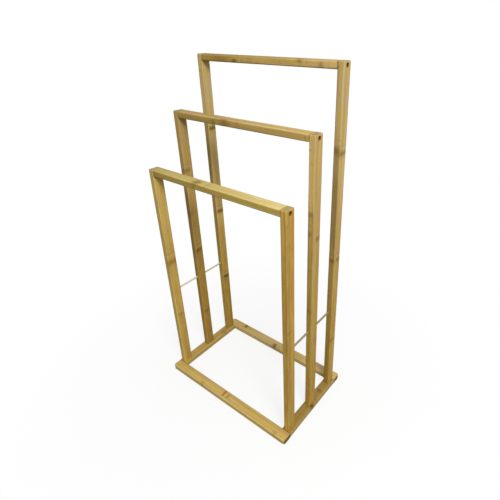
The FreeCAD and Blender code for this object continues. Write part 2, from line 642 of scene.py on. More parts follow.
class BambooShader(MaterialBench):
    """Builds the material of one lath."""

    STRAY_SPACING = 0.23            # between the fainter knuckles of a strip, in metres
    # The narrow faces' steps of painted shade and tone are eased over STEP_EASE.
    STEP_EASE = 12.0 * MM           # half the length over which a narrow face changes tone
    LEAN = (0.24, 0.26, 0.90)       # how far the strip, the clouds and the patches turn the wood
    LEAN_MIDDLE = 0.65              # what these come to on average
    BLEACH_PATCHES = (0.55, 1.45)   # the factors on the bleaching between the patches and in them
    STRIP_TONES = (0.96, 1.08)      # the darkest and the lightest strip
    CLOUD_TONES = (1.17, 1.01)      # between the clouds and in them
    PATCH_TONE = -0.17              # what a patch adds to that
    SHEEN_CHANGE = 0.14             # the unevenness of the lacquer's roughness

    def __init__(self, name: str, finish: BambooFinish, effects: BambooEffects, size: Vector,
                 rubbed_side: int, datum: float) -> None:
        """Places the shared groups.

        Args:
            name: The material's name.
            finish: The lath's colours.
            effects: The shared groups.
            size: The lath's length, width and thickness, in metres.
            rubbed_side: The sign of the lath's own Y on the side towards the lamp, where its long
                edge gets a painted highlight.
            datum: How far the lath's middle is from where the places of its marks are measured.
        """
        super().__init__(name)
        self.look, self.effects, self.length, self.datum = finish, effects, size.x, datum
        position, seed = self.position, finish.seed
        facing = self.out("TexCoord", output="Normal")
        self.along = self.axes(position)[0]
        self.narrow = abs(self.axes(facing)[1]).spread(0.6, 0.95)
        self.plies = self.group(effects.plies, position=position, ply_depth=finish.ply_depth,
                                strip_width=finish.strip_width, seed=seed)
        self.fibres = self.group(effects.fibres, position=position, shift=self.plies["Shift"],
                                 seed=seed * 3.1)
        self.arrises = self.group(
            effects.arrises, position=position, half_width=size.y / 2,
            half_thickness=size.z / 2, rubbed_side=rubbed_side, seed=seed)
        self.handling = self.group(effects.handling, position=position, seed=seed * 2.3)
        self.ends = self.group(effects.end_grain, position=position, facing=facing,
                               half_length=size.x / 2, seed=seed)
        self.marks, self.change = self.knuckle_marks()

    def knuckle_marks(self) -> tuple[dict[str, Wire], Value]:
        """Lays the marked and the stray knuckles over each other.

        Returns:
            The scar, the stain and the ridge of all of them, and the change of tone beyond them.
        """
        strays = self.group(self.effects.strays, position=self.position,
                            shift=self.plies["Shift"], spacing=self.STRAY_SPACING,
                            seed=self.look.seed * 5.3)
        hidden = (1.0 - self.plies["Show Face"]) * self.look.strays
        total = {name: value * hidden for name, value in strays.items()}
        change: Value = 1.0
        for number, knuckle in enumerate(self.look.knuckles):
            mark = self.group(
                self.effects.knuckle, position=self.position, place=knuckle.place - self.datum,
                across=knuckle.across, through=knuckle.through, reach=knuckle.reach,
                length=knuckle.length, strength=knuckle.strength,
                seed=self.look.seed * 1.7 + number)
            total = {name: self.maths("MAXIMUM", total[name], mark[name]) for name in total}
            if knuckle.step:
                change = mark["Beyond"] * knuckle.step + change
        return total, change

    def clear_wood(self) -> Wire:
        """Colours the clear wood: straw and honey in patches, bleached to one end, with fibres.

        Returns:
            Its colour.
        """
        look, fibres = self.look, self.fibres
        strip, cloud, patch = self.LEAN
        lean = self.plies["Warmth"] * strip + fibres["Clouds"] * cloud + fibres["Mottle"] * patch
        lean = lean + self.plies["Odd Strip"] * -look.split
        lean = self.maths("ADD", lean, look.warmth - self.LEAN_MIDDLE + look.split / 2, clamp=True)
        fade = self.along.spread(-self.length / 2, self.length / 2, *look.bleach)
        fade = fade * (self.narrow * (look.edge_bleach - 1.0) + 1.0)
        fade = fade * fibres["Mottle"].spread(0.0, 1.0, *self.BLEACH_PATCHES)
        colour = self.blend(fade, self.blend(lean, look.straw, look.honey), look.pale)
        return self.cover(colour, (fibres["Bundles"], look.bundles, look.fibre),
                          (fibres["Fine Grain"], look.fine_grain, look.fibre),
                          (fibres["Dashes"], look.dashes, look.fibre))

    def worn(self, colour: Wire) -> Wire:
        """Lays the arrises' painted shade and painted highlight and their rubbed spots, the
        knuckles, the glue lines and the specks over the clear wood.

        Args:
            colour: The clear wood.

        Returns:
            The worn wood, with painted light and shade on its long edges.
        """
        look, arrises, marks = self.look, self.arrises, self.marks
        return self.cover(
            colour,
            # Painted shade on the long edges away from the lamp, a painted highlight on the one
            # towards it.
            (arrises["Dark"], look.painted_shade_arris, look.scar),
            (arrises["Pale"], look.painted_highlight_arris, look.rim),
            (arrises["Rub"], look.rubbing, look.rim),
            (marks["Ridge"], look.ridges, look.rim),
            (marks["Stain"], look.stains, look.stain),
            (marks["Scar"], look.scars, look.scar),
            (self.plies["Glue Line"], look.glue, look.scar),
            (self.handling["Speck"], look.specks, look.scar))

    def strength(self) -> Wire:
        """Works out how bright the wood is: by strip, patch and place, with painted light along it,
        and by face, with painted light and shade on the narrow faces.

        Returns:
            The factor.
        """
        look = self.look
        tones = [tone * look.tone for tone in self.STRIP_TONES]
        strength = self.plies["Tone"].spread(0.0, 1.0, *tones)
        clouds = self.fibres["Clouds"].spread(0.0, 1.0, *self.CLOUD_TONES)
        strength = strength * (self.fibres["Mottle"] * self.PATCH_TONE + clouds) * self.change
        # Painted light: lighter or darker towards the far end, partly the lath's own tone.
        strength = strength * (self.along * (look.gain / self.length) + 1.0)
        # Painted light and shade on the narrow faces, partly their own tone, with its steps along
        # the lath.
        edge: Value = look.narrow_tone_and_shade
        for place, factor in look.narrow_tone_and_shade_steps:
            start = place - self.datum
            edge = self.along.spread(start - self.STEP_EASE, start + self.STEP_EASE, 1.0,
                                     factor) * edge
        return strength * (self.narrow * (edge - 1.0) + 1.0)

    def roughness(self) -> Wire:
        """Works out how rough the lacquer is.

        Returns:
            The roughness.
        """
        total = (self.handling["Sheen Change"] * self.SHEEN_CHANGE
                 + (self.look.roughness - self.SHEEN_CHANGE / 2))
        total = total + self.fibres["Bundles"] * 0.06 + self.arrises["Rub"] * 0.12
        total = total + self.marks["Scar"] * 0.15
        return self.maths("ADD", total, self.ends["Cut End"] * 0.2, clamp=True)

    def relief(self) -> Wire:
        """Lays the fine relief together.

        Returns:
            The normal.
        """
        heights_mm = ((self.fibres["Bundles"], -0.012), (self.fibres["Dashes"], -0.018),
                      (self.plies["Glue Line"], -0.05), (self.marks["Ridge"], 0.08),
                      (self.marks["Scar"], -0.06), (self.handling["Ripple"], 0.10))
        height: Value = 0.0
        for mask, full in heights_mm:
            height = mask * (full * MM) + height
        return self.bump(height)

    def build(self, holes: Sequence[tuple[Vector, float]]) -> Material:
        """Lays everything over each other.

        Args:
            holes: The mouth and the radius of each drilled hole, in the lath's own coordinates.

        Returns:
            The finished material.
        """
        look, ends = self.look, self.ends
        rings = [self.group(self.effects.scorch, position=self.position, mouth=mouth,
                            radius=radius)["Scorch"] for mouth, radius in holes]
        colour = self.worn(self.clear_wood())
        colour = self.cover(colour, *((ring, look.rings, look.scar) for ring in rings))
        cut = self.cover(look.cut, (ends["Dots"], look.dots, look.stain))
        # Dirt and painted contact shade close to the ends.
        colour = self.cover(self.blend(ends["Cut End"], colour, cut),
                            (ends["Joint Dirt"], look.end_dirt_and_shade, look.scar))
        return self.principled(
            base_color=self.blend(1.0, colour, self.strength(), "MULTIPLY"),
            roughness=self.roughness(), normal=self.relief(), ior=1.46,
            specular_ior_level=0.07, coat_weight=0.02, coat_roughness=0.22)


@dataclass(frozen=True)
class BoredFinish:
    """The wood inside a drilled hole, painted dark brown: partly the raw wood's colour, partly
    painted shade of the hole's depth.
    """

    # The dark colours partly paint the shade of the hole's depth.
    face: Colour = (0.190, 0.105, 0.022)
    light: Colour = (0.300, 0.180, 0.044)

    def material(self) -> Material:
        """Makes the material.

        Returns:
            The finished material.
        """
        bench = MaterialBench("bored_wood")
        torn = bench.grainy(bench.position, Grain.TORN)
        return bench.principled(
            base_color=bench.blend(torn.spread(0.35, 0.7), self.face, self.light),
            roughness=torn.spread(0.3, 0.7, 0.75, 0.95), normal=bench.bump(torn * (0.15 * MM)),
            specular_ior_level=0.2)


@dataclass(frozen=True)
class RodFinish:
    """Plain dowel wood with fine straight grain: its colours and how strong each mark is."""

    cream: Colour = (0.760, 0.710, 0.530)
    line: Colour = (0.580, 0.500, 0.310)
    grain: float = 0.55
    blush: float = 0.30
    pores: float = 0.50

    def material(self) -> Material:
        """Makes the material.

        Returns:
            The finished material.
        """
        bench = MaterialBench("dowel")
        grain = bench.grainy(bench.position, Grain.DOWEL)
        blush = bench.grainy(bench.position, Grain.BLUSH)
        pores = bench.grainy(bench.position, Grain.PORES)
        return bench.principled(
            base_color=bench.cover(self.cream, (grain.spread(0.4, 0.7), self.grain, self.line),
                                   (blush.spread(0.35, 0.7), self.blush, self.line),
                                   (pores.spread(0.62, 0.75), self.pores, self.line)),
            roughness=blush.spread(0.3, 0.7, 0.5, 0.68), normal=bench.bump(grain * (0.03 * MM)),
            specular_ior_level=0.35)


@dataclass(frozen=True)
class SteelFinish:
    """Dark bronzed steel with a turned face, worn to the bare metal by a share in patches."""

    coat: Colour = (0.075, 0.046, 0.013)
    bare: Colour = (0.200, 0.125, 0.045)
    wear: float = 0.35

    def material(self) -> Material:
        """Makes the material.

        Returns:
            The finished material.
        """
        bench = MaterialBench("bronzed_steel")
        blotch = bench.grainy(bench.position, Grain.BLOTCH)
        grooves = bench.grainy(bench.position, Grain.TURNED)
        worn = blotch.spread(0.55, 0.75) * self.wear
        return bench.principled(
            base_color=bench.blend(worn, self.coat, self.bare),
            metallic=worn.spread(0.0, self.wear, 0.35, 0.90),
            roughness=blotch.spread(0.3, 0.7, 0.48, 0.64),
            normal=bench.bump(grooves * (0.02 * MM)), specular_ior_level=0.15)


# ---------------------------------------------------------------- shaping
class Run(Enum):
    """Which way a lath runs. Its value gives the world directions of its own X, Y and Z."""

    ACROSS = ((1, 0, 0), (0, 1, 0), (0, 0, 1))
    BACKWARD = ((0, 1, 0), (-1, 0, 0), (0, 0, 1))
    UP = ((0, 0, 1), (0, -1, 0), (1, 0, 0))

    def standing(self, place: Vector) -> Matrix:
        """Where a lath stands that runs this way and has its middle at a place."""
        return Matrix.Translation(place) @ Matrix(self.value).transposed().to_4x4()

    def own(self, vector: Vector) -> Vector:
        """Turns a world vector into a lath's own directions."""
        return Matrix(self.value) @ vector


def quarter(steps: int, start: float = 0.0) -> list[float]:
    """The angles of a quarter turn in a number of steps, from a start in half turns."""
    return [math.pi * (start + 0.5 * step / steps) for step in range(steps + 1)]


def link(name: str, data: bpy.types.ID) -> Object:
    """Puts something into the scene.

    Args:
        name: The new object's name.
        data: Its mesh, lamp or camera.

    Returns:
        The object.
    """
    piece = bpy.data.objects.new(name, data)
    bpy.context.scene.collection.objects.link(piece)
    return piece


def bake_modifiers(piece: Object) -> None:
    """Writes an object's modifiers into its mesh.

    Args:
        piece: The object.
    """
    bpy.context.view_layer.update()
    shaped = piece.evaluated_get(bpy.context.evaluated_depsgraph_get())
    mesh = bpy.data.meshes.new_from_object(shaped)
    piece.modifiers.clear()
    old, piece.data = piece.data, mesh
    bpy.data.meshes.remove(old)


def skinned(name: str, rings: Sequence[Sequence[Vector]], material: Material) -> Object:
    """Joins closed rings of points in a row and closes both ends.

    Args:
        name: The object's name.
        rings: The rings, each with as many points as the next.
        material: The object's material.

    Returns:
        The closed object.
    """
    shape = bmesh.new()
    rows = [[shape.verts.new(point) for point in ring] for ring in rings]
    for near, far in zip(rows, rows[1:]):
        for index in range(len(near)):
            following = (index + 1) % len(near)
            shape.faces.new((near[index], near[following], far[following], far[index]))
    shape.faces.new(reversed(rows[0]))
    shape.faces.new(rows[-1])
    bmesh.ops.recalc_face_normals(shape, faces=shape.faces)
    mesh = bpy.data.meshes.new(name)
    shape.to_mesh(mesh)
    shape.free()
    mesh.materials.append(material)
    return link(name, mesh)


def turned(name: str, profile: Sequence[tuple[float, float]], segments: int,
           material: Material) -> Object:
    """Turns an open profile about Z, its ends on the axis.

    Args:
        name: The object's name.
        profile: Points of radius and height, from one end to the other.
        segments: How many steps the turn has.
        material: The object's material.

    Returns:
        The closed object.
    """
    angles = [2 * math.pi * index / segments for index in range(segments)]
    rings = [[Vector((radius * math.cos(angle), radius * math.sin(angle), height))
              for angle in angles] for radius, height in profile]
    return skinned(name, rings, material)


def pointing(place: Vector, into: Vector) -> Matrix:
    """Where a turned object stands whose own Z points a given way."""
    return Matrix.Translation(place) @ into.to_track_quat("Z", "Y").to_matrix().to_4x4()


def carve(piece: Object, cutter: Object) -> None:
    """Cuts one solid out of another, and deletes it.

    Args:
        piece: The object that is cut.
        cutter: What is cut out. The new faces get its material.
    """
    cut = piece.modifiers.new("cut", "BOOLEAN")
    cut.operation = "DIFFERENCE"
    cut.solver = "EXACT"
    cut.material_mode = "TRANSFER"
    cut.object = cutter
    bake_modifiers(piece)
    bpy.data.meshes.remove(cutter.data)


def hand_over(piece: Object, node: str, crease: float) -> Object:
    """Smooths a piece, its flat faces kept flat, and puts it in its node's place.

    Args:
        piece: The piece.
        node: The node that it stands for.
        crease: The angle in degrees from which its edges stay sharp.

    Returns:
        The piece.
    """
    piece.data.shade_smooth()
    piece.data.set_sharp_from_angle(angle=math.radians(crease))
    weighted = piece.modifiers.new("flat_faces", "WEIGHTED_NORMAL")
    weighted.keep_sharp = True
    weighted.weight = FLAT_FACE_WEIGHT
    bake_modifiers(piece)
    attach(piece, BODY)
    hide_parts(node)
    return piece


@dataclass(frozen=True)
class Bore:
    """A drilled hole.

    Attributes:
        mouth: Where its axis meets the surface, in the world.
        into: The direction that it is drilled in.
        diameter: Its width.
        depth: How deep it goes.
        ease: The bevel round its mouth.
        clear: How far the cutter stands out of the surface.
        segments: How many flats make its round.
    """

    mouth: Vector
    into: Vector
    diameter: float
    depth: float
    ease: float = 0.25 * MM
    clear: float = 1.0 * MM
    segments: int = 48

    def drill(self, piece: Object, wood: Material) -> None:
        """Drills the hole.

        Args:
            piece: The object, already in place.
            wood: The material of the hole's wall.
        """
        radius = self.diameter / 2
        profile = [(TINY, -self.clear), (radius + self.ease + self.clear, -self.clear),
                   (radius, self.ease), (radius, self.depth), (TINY, self.depth)]
        cutter = turned("cutter", profile, self.segments, wood)
        cutter.matrix_world = pointing(self.mouth, self.into)
        carve(piece, cutter)


@dataclass(frozen=True)
class Kit:
    """The groups and the materials that the pieces share."""

    effects: BambooEffects
    bored: Material
    steel: Material


# ---------------------------------------------------------------- laths
EDGE_GAP, FACE_GAP, FIRST_FACE = 7.3, 3.7, 11.0     # set a lath's edges and faces apart in noise


@dataclass
class Lath:
    """One rounded bar of laminated bamboo that stands for a node of the frame.

    Attributes:
        node: The node that it stands for.
        run: Which way it runs.
        finish: Its colours.
        near_ease: How far its first end is rounded, in metres.
        far_ease: How far its last end is rounded.
        joined_side: The sign of its own Z where its far end meets another lath, or 0.
        bores: The holes drilled in it.
        arris: The radius of its long edges.
        arris_change: How much that varies, as a share.
        face_wave: How far its long faces dip under its box.
        face_shares: Where the points between two of its long edges lie.
        arc_steps: How many steps the round of a long edge has.
        end_steps: How many steps the round of an end has.
        station_gap: About how far apart the points along it are.
        least_round: The smallest radius that is left of a long edge at an end.
        arris_waves: How often the long edges' radius wavers in a metre.
        face_waves: How often the long faces dip in a metre.
        crease: The angle in degrees from which an edge stays sharp.
    """

    node: str
    run: Run
    finish: BambooFinish
    near_ease: float = 0.3 * MM
    far_ease: float = 0.3 * MM
    joined_side: int = 0
    bores: list[Bore] = field(default_factory=list)
    arris: float = 2.5 * MM
    arris_change: float = 0.16
    face_wave: float = 0.05 * MM
    face_shares: tuple[float, ...] = (0.05, 0.35, 0.65, 0.95)
    arc_steps: int = 6
    end_steps: int = 4
    station_gap: float = 9.0 * MM
    least_round: float = 0.1 * MM
    arris_waves: float = 22.0
    face_waves: float = 9.0
    crease: float = 32.0

    def __post_init__(self) -> None:
        """Reads the lath's place and size from the frame."""
        low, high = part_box(self.node)
        self.middle = (low + high) / 2
        self.size = Vector(abs(part) for part in self.run.own(high - low))

    def arris_at(self, along: float, corner: int) -> float:
        """The radius of one long edge at a place, a little uneven as sanding leaves it."""
        waver = noise.noise(Vector((along * self.arris_waves, corner * EDGE_GAP, self.finish.seed)))
        return self.arris * (1.0 + self.arris_change * waver)

    def sunk(self, along: float, side: int) -> float:
        """How far one long face lies under the lath's box at a place, as planing leaves it."""
        place = Vector((along * self.face_waves, side * FACE_GAP + FIRST_FACE, self.finish.seed))
        return self.face_wave * (0.5 + 0.5 * noise.noise(place))

    def section(self, along: float, inset: float) -> list[Vector]:
        """Its outline at one place.

        Args:
            along: The place along it.
            inset: How far the outline lies inside the full one.

        Returns:
            The outline's points, anticlockwise as seen from its far end.
        """
        right, left = self.size.y / 2 - self.sunk(along, 0), self.sunk(along, 1) - self.size.y / 2
        top, bottom = self.size.z / 2 - self.sunk(along, 2), self.sunk(along, 3) - self.size.z / 2
        corners = ((right, top), (left, top), (left, bottom), (right, bottom))
        arcs = []
        for number, (y, z) in enumerate(corners):
            radius = self.arris_at(along, number)
            centre_y, centre_z = y - math.copysign(radius, y), z - math.copysign(radius, z)
            if along > 0 and z * self.joined_side > 0:
                centre_z += self.joined_side * inset
            reach = max(radius - inset, self.least_round)
            arcs.append([Vector((along, centre_y + reach * math.cos(angle),
                                 centre_z + reach * math.sin(angle)))
                         for angle in quarter(self.arc_steps, number / 2)])
        points = []
        for arc, following in zip(arcs, arcs[1:] + arcs[:1]):
            points += arc
            points += [arc[-1].lerp(following[0], share) for share in self.face_shares]
        return points

    def stations(self) -> list[tuple[float, float]]:
        """Sets out the places along the lath where its outline is drawn.

        Returns:
            Each place with the outline's inset there.
        """
        half = self.size.x / 2
        places = []
        for ease, sign in ((self.near_ease, -1), (self.far_ease, 1)):
            places += [(sign * (half - ease * (1 - math.sin(angle))),
                        ease * (1 - math.cos(angle))) for angle in quarter(self.end_steps)]
        length = self.size.x - self.near_ease - self.far_ease
        count = max(2, round(length / self.station_gap))
        places += [(self.near_ease - half + length * step / count, 0.0)
                   for step in range(1, count)]
        return sorted(places)

    def rings(self) -> list[list[Vector]]:
        """The lath's outlines from end to end."""
        return [self.section(*station) for station in self.stations()]

    def build(self, kit: Kit) -> Object:
        """Makes the lath, dresses it, drills it and puts it on its body.

        Args:
            kit: The groups and the materials that the pieces share.

        Returns:
            The piece.
        """
        upright = self.run is Run.UP
        # The lath's side towards the lamp, for the painted highlight of its long edge.
        shader = BambooShader(self.node + "_bamboo", self.finish, kit.effects, self.size,
                              1 if upright else -1, self.middle.z if upright else 0.0)
        holes = [(self.run.own(bore.mouth - self.middle), bore.diameter / 2)
                 for bore in self.bores]
        piece = skinned(self.node + "_lath", self.rings(), shader.build(holes))
        piece.matrix_world = self.run.standing(self.middle)
        for bore in self.bores:
            bore.drill(piece, kit.bored)
        return hand_over(piece, self.node, self.crease)


@dataclass
class CornerLath(Lath):
    """A base rail whose two outer corners are rounded in plan.

    Attributes:
        outward: The sign of its own Y on its outer side.
        plan_round: The radius of the outer corners.
        plan_ease: The radius of the inner corners.
        foot_ease: The radius of the lower rim.
        plan_steps: How many steps the round of a corner has.
        foot_steps: How many steps the round of the lower rim has.
        wall_shares: Where the points between the two rims lie.
    """

    outward: int = 1
    plan_round: float = 6.0 * MM
    plan_ease: float = 0.6 * MM
    foot_ease: float = 1.0 * MM
    plan_steps: int = 9
    foot_steps: int = 3
    wall_shares: tuple[float, ...] = (0.1, 0.5, 0.9)

    def outline(self, inset: float) -> list[tuple[float, float]]:
        """Draws the rail's plan.

        Args:
            inset: How far it lies inside the full one.

        Returns:
            Its points, anticlockwise.
        """
        corners = []
        for number, (x_sign, y_sign) in enumerate(((1, -1), (1, 1), (-1, 1), (-1, -1))):
            full = self.plan_round if y_sign == self.outward else self.plan_ease
            reach = max(full, inset + self.least_round / 2)
            centre_x = x_sign * (self.size.x / 2 - reach)
            centre_y = y_sign * (self.size.y / 2 - reach)
            corners.append([(centre_x + (reach - inset) * math.cos(angle),
                             centre_y + (reach - inset) * math.sin(angle))
                            for angle in quarter(self.plan_steps, (number - 1) / 2)])
        points = []
        for number, arc in enumerate(corners):
            (from_x, from_y), (to_x, to_y) = arc[-1], corners[(number + 1) % 4][0]
            length = self.size.x if number % 2 else self.size.y
            count = max(3, round(length / self.station_gap))
            points += arc
            points += [(from_x + (to_x - from_x) * step / count,
                        from_y + (to_y - from_y) * step / count) for step in range(1, count)]
        return points

    def rings(self) -> list[list[Vector]]:
        """Draws the rail's plans from the floor up.

        Returns:
            The plan's points at each height.
        """
        top = self.size.z / 2
        low, sanded_from = self.foot_ease - top, top - self.arris
        levels = [(self.foot_ease * (1 - math.sin(angle)), low - self.foot_ease * math.cos(angle))
                  for angle in quarter(self.foot_steps)]
        levels += [(0.0, low + (sanded_from - low) * share) for share in self.wall_shares]
        levels += [(self.arris * (1 - math.cos(angle)),
                    sanded_from + self.arris * math.sin(angle))
                   for angle in quarter(self.arc_steps)]
        rings = []
        for inset, height in levels:
            share = max(0.0, (height - sanded_from) / self.arris)
            rings.append([Vector((x, y, height - share * self.sunk(x, 2 if y > 0 else 3)))
                          for x, y in self.outline(inset)])
        return rings


# ---------------------------------------------------------------- fittings
@dataclass
class Screw:
    """A sunk socket-head screw, its thread as rings.

    Attributes:
        face: Where it enters the wood.
        into: Its direction.
        name: The piece's name.
        node: The node that it stands for, with its twin.
        plain_share: How much of its shank has no thread.
        thread_shape: Where in a turn the groove starts, where it ends, and where the crest is
            reached again.
        socket_wall: How much of the socket's depth its walls reach.
        clear: How far the socket's cutter stands out of the head.
        crease: The angle in degrees from which an edge stays sharp.
    """

    face: Vector
    into: Vector
    name: str
    node: str
    head_diameter: float = 7.5 * MM
    head_height: float = 4.0 * MM
    head_sink: float = 2.0 * MM
    head_ease: float = 0.45 * MM
    shank_diameter: float = 4.5 * MM
    shank_length: float = 40.0 * MM
    plain_share: float = 0.25
    root_depth: float = 0.45 * MM
    pitch: float = 1.8 * MM
    socket_flats: float = 4.0 * MM
    socket_depth: float = 2.5 * MM
    socket_wall: float = 0.85
    socket_sides: int = 6
    thread_shape: tuple[float, float, float] = (0.15, 0.55, 0.85)
    head_steps: int = 4
    segments: int = 40
    clear: float = 0.5 * MM
    crease: float = 28.0

    def profile(self) -> list[tuple[float, float]]:
        """Draws the screw's half outline.

        Returns:
            Its points of radius and height, from the head's top down.
        """
        head, outer = self.head_diameter / 2, self.shank_diameter / 2
        root, end = outer - self.root_depth, self.head_height + self.shank_length
        height = self.head_height + self.plain_share * self.shank_length
        points = [(TINY, 0.0)]
        points += [(head - self.head_ease * (1 - math.sin(angle)),
                    self.head_ease * (1 - math.cos(angle))) for angle in quarter(self.head_steps)]
        points += [(head, self.head_height), (outer, self.head_height), (outer, height)]
        while height + self.pitch < end:
            points += [(radius, height + share * self.pitch)
                       for radius, share in zip((root, root, outer), self.thread_shape)]
            height += self.pitch
        return points + [(root, end), (TINY, end)]

    def build(self, steel: Material) -> Object:
        """Makes the screw with its socket and puts it on its body.

        Args:
            steel: Its material.

        Returns:
            The piece.
        """
        piece = turned(self.name, self.profile(), self.segments, steel)
        corner = self.socket_flats / math.sqrt(3)
        key = [(TINY, -self.clear), (corner, -self.clear),
               (corner, self.socket_depth * self.socket_wall), (TINY, self.socket_depth)]
        carve(piece, turned("key", key, self.socket_sides, steel))
        piece.matrix_world = pointing(self.face + self.into * self.head_sink, self.into)
        return hand_over(piece, self.node, self.crease)


@dataclass
class Rod:
    """A thin dowel that ties the three uprights of one side.

    Attributes:
        node: The node that it stands for.
        seed: What sets its shape apart.
        out_of_round: How much its radius falls short, as a share.
        waves: How often its outline wavers in a metre.
        crease: The angle in degrees from which an edge stays sharp.
    """

    node: str
    seed: float
    segments: int = 28
    station_gap: float = 6.0 * MM
    end_ease: float = 0.6 * MM
    out_of_round: float = 0.03
    waves: float = 30.0
    lobes: float = 1.3
    crease: float = 40.0

    def ring(self, along: float, radius: float, inset: float) -> list[Vector]:
        """Draws its outline at one place, a little out of round.

        Args:
            along: The place along it.
            radius: The full radius.
            inset: How far the outline lies inside that.

        Returns:
            The outline's points.
        """
        points = []
        for index in range(self.segments):
            angle = 2 * math.pi * index / self.segments
            waver = noise.noise(Vector((
                along * self.waves, math.cos(angle) * self.lobes + self.seed,
                math.sin(angle) * self.lobes)))
            reach = radius * (1 - self.out_of_round * (0.5 + 0.5 * waver)) - inset
            points.append(Vector((along, reach * math.cos(angle), reach * math.sin(angle))))
        return points

    def build(self, wood: Material) -> Object:
        """Makes the rod and puts it on its body.

        Args:
            wood: Its material.

        Returns:
            The piece.
        """
        low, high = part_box(self.node)
        half, radius = (high.y - low.y) / 2, (high.z - low.z) / 2
        count = round(2 * half / self.station_gap)
        full = 2 * (half - self.end_ease)
        places = [(-half, self.end_ease)]
        places += [(self.end_ease - half + full * step / count, 0.0) for step in range(count + 1)]
        places += [(half, self.end_ease)]
        rings = [self.ring(along, radius, inset) for along, inset in places]
        piece = skinned(self.node + "_dowel", rings, wood)
        piece.matrix_world = Run.BACKWARD.standing((low + high) / 2)
        return hand_over(piece, self.node, self.crease)


# ---------------------------------------------------------------- sub-assemblies
SIDES = {"left": -1, "right": 1}
TIERS = ("front", "middle", "rear")
HEAD_CLEARANCE = 0.25 * MM
HEAD_HOLE = Screw.head_diameter + 2 * HEAD_CLEARANCE
HEAD_SEAT = Screw.head_sink + Screw.head_height
ROD_CLEARANCE = 0.1 * MM
ROD_HOLE_DEPTH = 8.0 * MM


def foot_face(tier: str, sign: int) -> Vector:
    """Finds where the foot screw of a tier's upright enters the base.

    Args:
        tier: The frame that it belongs to.
        sign: The side, -1 or 1.

    Returns:
        The middle of the hole's mouth.
    """
    low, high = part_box(tier + "_foot_screws")
    reach = max(abs(low.x), abs(high.x)) - Screw.head_diameter / 2
    return Vector((sign * reach, (low.y + high.y) / 2, low.z - Screw.head_sink))


def bar_face(tier: str, sign: int) -> Vector:
    """Finds where a bar's screw enters the outer face of its upright.

    Args:
        tier: The frame that it belongs to.
        sign: The side, -1 or 1.

    Returns:
        The middle of the hole's mouth.
    """
    low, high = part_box(tier + "_bar_screws")
    reach = max(abs(low.x), abs(high.x)) + Screw.head_sink
    return Vector((sign * reach, (low.y + high.y) / 2, (low.z + high.z) / 2))


@dataclass
class SideRail(Lath):
    """A side rail of the base, cut off at the joints that its tenons go through."""

    def __post_init__(self) -> None:
        """Reads the rail's place, and its length from the rails that it stands between."""
        super().__post_init__()
        self.size.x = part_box("base_rear_rail")[0].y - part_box("base_front_rail")[1].y
        sign = 1 if self.middle.x > 0 else -1
        self.bores += [Bore(foot_face(tier, sign), UP, HEAD_HOLE, HEAD_SEAT) for tier in TIERS]


@dataclass
class BaseFrame:
    """The flat rectangle that the stand rests on.

    Attributes:
        finishes: The finish of each lath, by node.
    """

    finishes: dict[str, BambooFinish]

    def build(self, kit: Kit) -> list[Object]:
        """Builds and dresses the four rails.

        Args:
            kit: The groups and the materials that the pieces share.

        Returns:
            The pieces.
        """
        rails = [CornerLath(node, Run.ACROSS, self.finishes[node], outward=outward)
                 for node, outward in (("base_front_rail", -1), ("base_rear_rail", 1))]
        rails += [SideRail(node, Run.BACKWARD, self.finishes[node])
                  for node in ("base_left_rail", "base_right_rail")]
        return [rail.build(kit) for rail in rails]


@dataclass
class TierFrame:
    """One upturned U: two uprights, the bar between them and their screws.

    Attributes:
        tier: Which of the three frames it is.
        finishes: The finish of each lath, by node.
        top_ease: How far the uprights' tops are rounded.
    """

    tier: str
    finishes: dict[str, BambooFinish]
    top_ease: float = 2.0 * MM

    def rod_bores(self, side: str) -> list[Bore]:
        """Places the holes where a side's rod goes into this frame's upright.

        Args:
            side: The side.

        Returns:
            One hole, or two where the rod runs through.
        """
        low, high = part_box(side + "_spacer_rod")
        middle, diameter = (low + high) / 2, high.z - low.z + 2 * ROD_CLEARANCE
        post_low, post_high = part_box(self.tier + "_" + side + "_upright")
        return [Bore(Vector((middle.x, face_y, middle.z)), Vector((0, into, 0)), diameter,
                     ROD_HOLE_DEPTH)
                for face_y, into in ((post_low.y, 1), (post_high.y, -1)) if low.y < face_y < high.y]

    def build(self, kit: Kit) -> list[Object]:
        """Builds and dresses the frame.

        Args:
            kit: The groups and the materials that the pieces share.

        Returns:
            The pieces.
        """
        pieces = []
        for side, sign in SIDES.items():
            node = self.tier + "_" + side + "_upright"
            face, inward = bar_face(self.tier, sign), Vector((-sign, 0, 0))
            bores = self.rod_bores(side) + [Bore(face, inward, HEAD_HOLE, HEAD_SEAT)]
            post = Lath(node, Run.UP, self.finishes[node], far_ease=self.top_ease,
                        joined_side=-sign, bores=bores)
            bar_screw = Screw(face, inward, f"{self.tier}_{side}_bar_screw",
                              self.tier + "_bar_screws")
            foot_screw = Screw(foot_face(self.tier, sign), UP, f"{self.tier}_{side}_foot_screw",
                               self.tier + "_foot_screws")
            pieces += [post.build(kit), bar_screw.build(kit.steel), foot_screw.build(kit.steel)]
        node = self.tier + "_bar"
        return pieces + [Lath(node, Run.ACROSS, self.finishes[node]).build(kit)]


# ---------------------------------------------------------------- studio
@dataclass(frozen=True)
class Lamp:
    """A round, soft lamp.

    Attributes:
        place: Where it stands, in metres.
        aim: What it points at.
        width: Its diameter.
        power: Its power in watts.
    """

    place: tuple[float, float, float]
    aim: tuple[float, float, float]
    width: float
    power: float

    def build(self) -> None:
        """Makes the lamp."""
        data = bpy.data.lights.new("key_lamp", "AREA")
        data.shape = "DISK"
        data.size = self.width
        data.energy = self.power
        lamp = link("key_lamp", data)
        lamp.location = self.place
        lamp.rotation_mode = "QUATERNION"
        lamp.rotation_quaternion = (Vector(self.place) - Vector(self.aim)).to_track_quat("Z", "Y")


